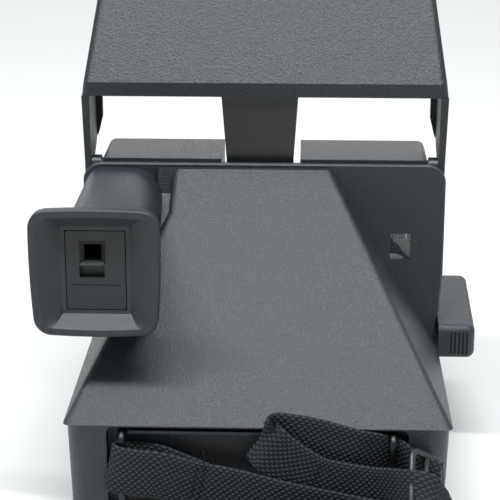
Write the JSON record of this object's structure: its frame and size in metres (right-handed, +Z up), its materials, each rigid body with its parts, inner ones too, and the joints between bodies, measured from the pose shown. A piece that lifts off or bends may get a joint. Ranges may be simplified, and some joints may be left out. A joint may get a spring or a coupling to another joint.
{
  "type": "instant camera",
  "caption": "Box-type integral-film instant camera with raised flip-up flash cover, sloping mirror housing, square viewfinder eyepiece, hinged film door and woven strap.",
  "frame": {"origin": "on the floor under the middle of the camera body", "axes": "+Z up, +Y to the back (the user's side), +X to the viewfinder side"},
  "size_m": [0.136, 0.1762, 0.148],
  "materials": {
    "body_grey": "fine moulded grain, dark grey",
    "body_black": "fine moulded grain, black",
    "cover_black": "leather-like grain",
    "lens_panel_black": "satin black",
    "eyepiece_rubber": "matt",
    "foot_rubber": "matt",
    "lens_glass": "coated, clear",
    "window_clear": "clear plastic",
    "mirror_glass": "front-silvered",
    "steel": "satin",
    "spring_steel": "bright",
    "chrome_reflector": "bright",
    "nylon_gear": "natural nylon",
    "brass": "bright",
    "board_green": "solder mask",
    "capacitor_sleeve": "shrink sleeve",
    "inner_black": "flocked matt black",
    "button_plastic": "smooth",
    "strap_webbing": "woven webbing",
    "slider_plastic": "smooth"
  },
  "bodies": {
    "camera_body": {"base_shell": "body_grey", "bottom_cover": "body_black", "rubber_feet": "foot_rubber", "screws": "steel", "chamber_frame": "inner_black", "pack_spring": "spring_steel", "battery_contacts": "brass", "light_cone": "inner_black", "mirror": "mirror_glass", "rear_cover": "body_grey", "counter_window": "window_clear", "eyepiece_cup": "eyepiece_rubber", "eyepiece_insert": "body_black", "finder_rear_lens": "lens_glass", "front_housing": "body_black", "lens_panel": "lens_panel_black", "lens_bezel": "lens_panel_black", "taking_lens": "lens_glass", "sensor_window": "window_clear", "finder_front_lens": "window_clear", "shutter_plate": "inner_black", "grip_block": "body_grey", "button_spring": "spring_steel", "hinge_pins": "steel", "door_pins": "body_black", "gear_axles": "steel", "motor": "steel", "circuit_board": "board_green", "strap_bar_left": "steel", "strap_bar_right": "steel", "strap_left": "strap_webbing", "strap_right": "strap_webbing", "strap_slider": "slider_plastic", "strap_hank": "strap_webbing"},
    "flash_cover": {"flash_cover_shell": "cover_black", "flash_chassis": "body_black", "hinge_neck": "body_black", "cover_arm_left": "cover_black", "cover_arm_right": "cover_black", "flash_window": "window_clear", "flash_reflector": "chrome_reflector", "flash_tube": "lens_glass", "flash_capacitor": "capacitor_sleeve"},
    "film_door": {"film_door": "body_grey", "roller_bearings": "nylon_gear"},
    "lower_roller": {"lower_roller": "steel", "lower_roller_gear": "nylon_gear"},
    "upper_roller": {"upper_roller": "steel", "upper_roller_gear": "nylon_gear"},
    "idler_front": {"idler_gear_front": "nylon_gear"},
    "idler_rear": {"idler_gear_rear": "nylon_gear"},
    "reduction": {"reduction_gear": "nylon_gear"},
    "pinion": {"motor_pinion": "brass"},
    "shutter_button": {"shutter_button": "button_plastic"},
    "exposure_slider": {"exposure_slider": "button_plastic"},
    "counter_dial": {"counter_dial": "inner_black"},
    "blade_left": {"shutter_blade_left": "steel"},
    "blade_right": {"shutter_blade_right": "steel"},
    "pick_arm": {"pick_arm": "steel"},
    "door_latch": {"door_latch": "button_plastic"}
  },
  "joints": [
    {"name": "flash_cover_hinge", "type": "hinge", "parent": "camera_body", "child": "flash_cover", "pos_m": [0, -0.002, 0.094], "axis": [1, 0, 0], "range_deg": [0, 90]},
    {"name": "film_door_hinge", "type": "hinge", "parent": "camera_body", "child": "film_door", "pos_m": [0, -0.0485, 0.0055], "axis": [1, 0, 0], "range_deg": [0, 85]},
    {"name": "lower_roller_spin", "type": "hinge", "parent": "film_door", "child": "lower_roller", "pos_m": [-0.0515, -0.06, 0.02], "axis": [1, 0, 0], "continuous": true},
    {"name": "upper_roller_spin", "type": "hinge", "parent": "film_door", "child": "upper_roller", "pos_m": [-0.0515, -0.06, 0.028], "axis": [1, 0, 0], "continuous": true},
    {"name": "idler_front_spin", "type": "hinge", "parent": "camera_body", "child": "idler_front", "pos_m": [-0.0515, -0.04951, 0.01418], "axis": [1, 0, 0], "continuous": true},
    {"name": "idler_rear_spin", "type": "hinge", "parent": "camera_body", "child": "idler_rear", "pos_m": [-0.0515, -0.04149, 0.02895], "axis": [1, 0, 0], "continuous": true},
    {"name": "reduction_spin", "type": "hinge", "parent": "camera_body", "child": "reduction", "pos_m": [-0.0515, -0.02749, 0.03231], "axis": [1, 0, 0], "continuous": true},
    {"name": "motor_pinion_spin", "type": "hinge", "parent": "camera_body", "child": "pinion", "pos_m": [-0.0515, -0.019, 0.03969], "axis": [1, 0, 0], "continuous": true},
    {"name": "shutter_button_press", "type": "slide", "parent": "camera_body", "child": "shutter_button", "axis": [0, 1, 0], "range_m": [0, 0.0025], "stiffness_N_per_m": 400, "springref_m": -0.002},
    {"name": "exposure_slide", "type": "slide", "parent": "camera_body", "child": "exposure_slider", "axis": [1, 0, 0], "range_m": [-0.005, 0.005]},
    {"name": "counter_dial_turn", "type": "hinge", "parent": "camera_body", "child": "counter_dial", "pos_m": [-0.042, 0.001, 0.059], "axis": [0, 1, 0], "range_deg": [0, 300]},
    {"name": "blade_left_slide", "type": "slide", "parent": "camera_body", "child": "blade_left", "axis": [-1, 0, 0], "range_m": [0, 0.0065]},
    {"name": "blade_right_slide", "type": "slide", "parent": "camera_body", "child": "blade_right", "axis": [1, 0, 0], "range_m": [0, 0.0065]},
    {"name": "pick_arm_slide", "type": "slide", "parent": "camera_body", "child": "pick_arm", "axis": [0, -1, 0], "range_m": [0, 0.005], "stiffness_N_per_m": 60, "springref_m": -0.002},
    {"name": "door_latch_slide", "type": "slide", "parent": "camera_body", "child": "door_latch", "axis": [0, -1, 0], "range_m": [0, 0.004], "stiffness_N_per_m": 300, "springref_m": -0.002}
  ],
  "couplings": [
    {"joint": "upper_roller_spin", "follows": "lower_roller_spin", "ratio": -1},
    {"joint": "idler_front_spin", "follows": "lower_roller_spin", "ratio": -0.5},
    {"joint": "idler_rear_spin", "follows": "lower_roller_spin", "ratio": 0.45455},
    {"joint": "reduction_spin", "follows": "lower_roller_spin", "ratio": -0.71429},
    {"joint": "motor_pinion_spin", "follows": "lower_roller_spin", "ratio": 2.8571},
    {"joint": "blade_right_slide", "follows": "blade_left_slide", "ratio": 1}
  ]
}
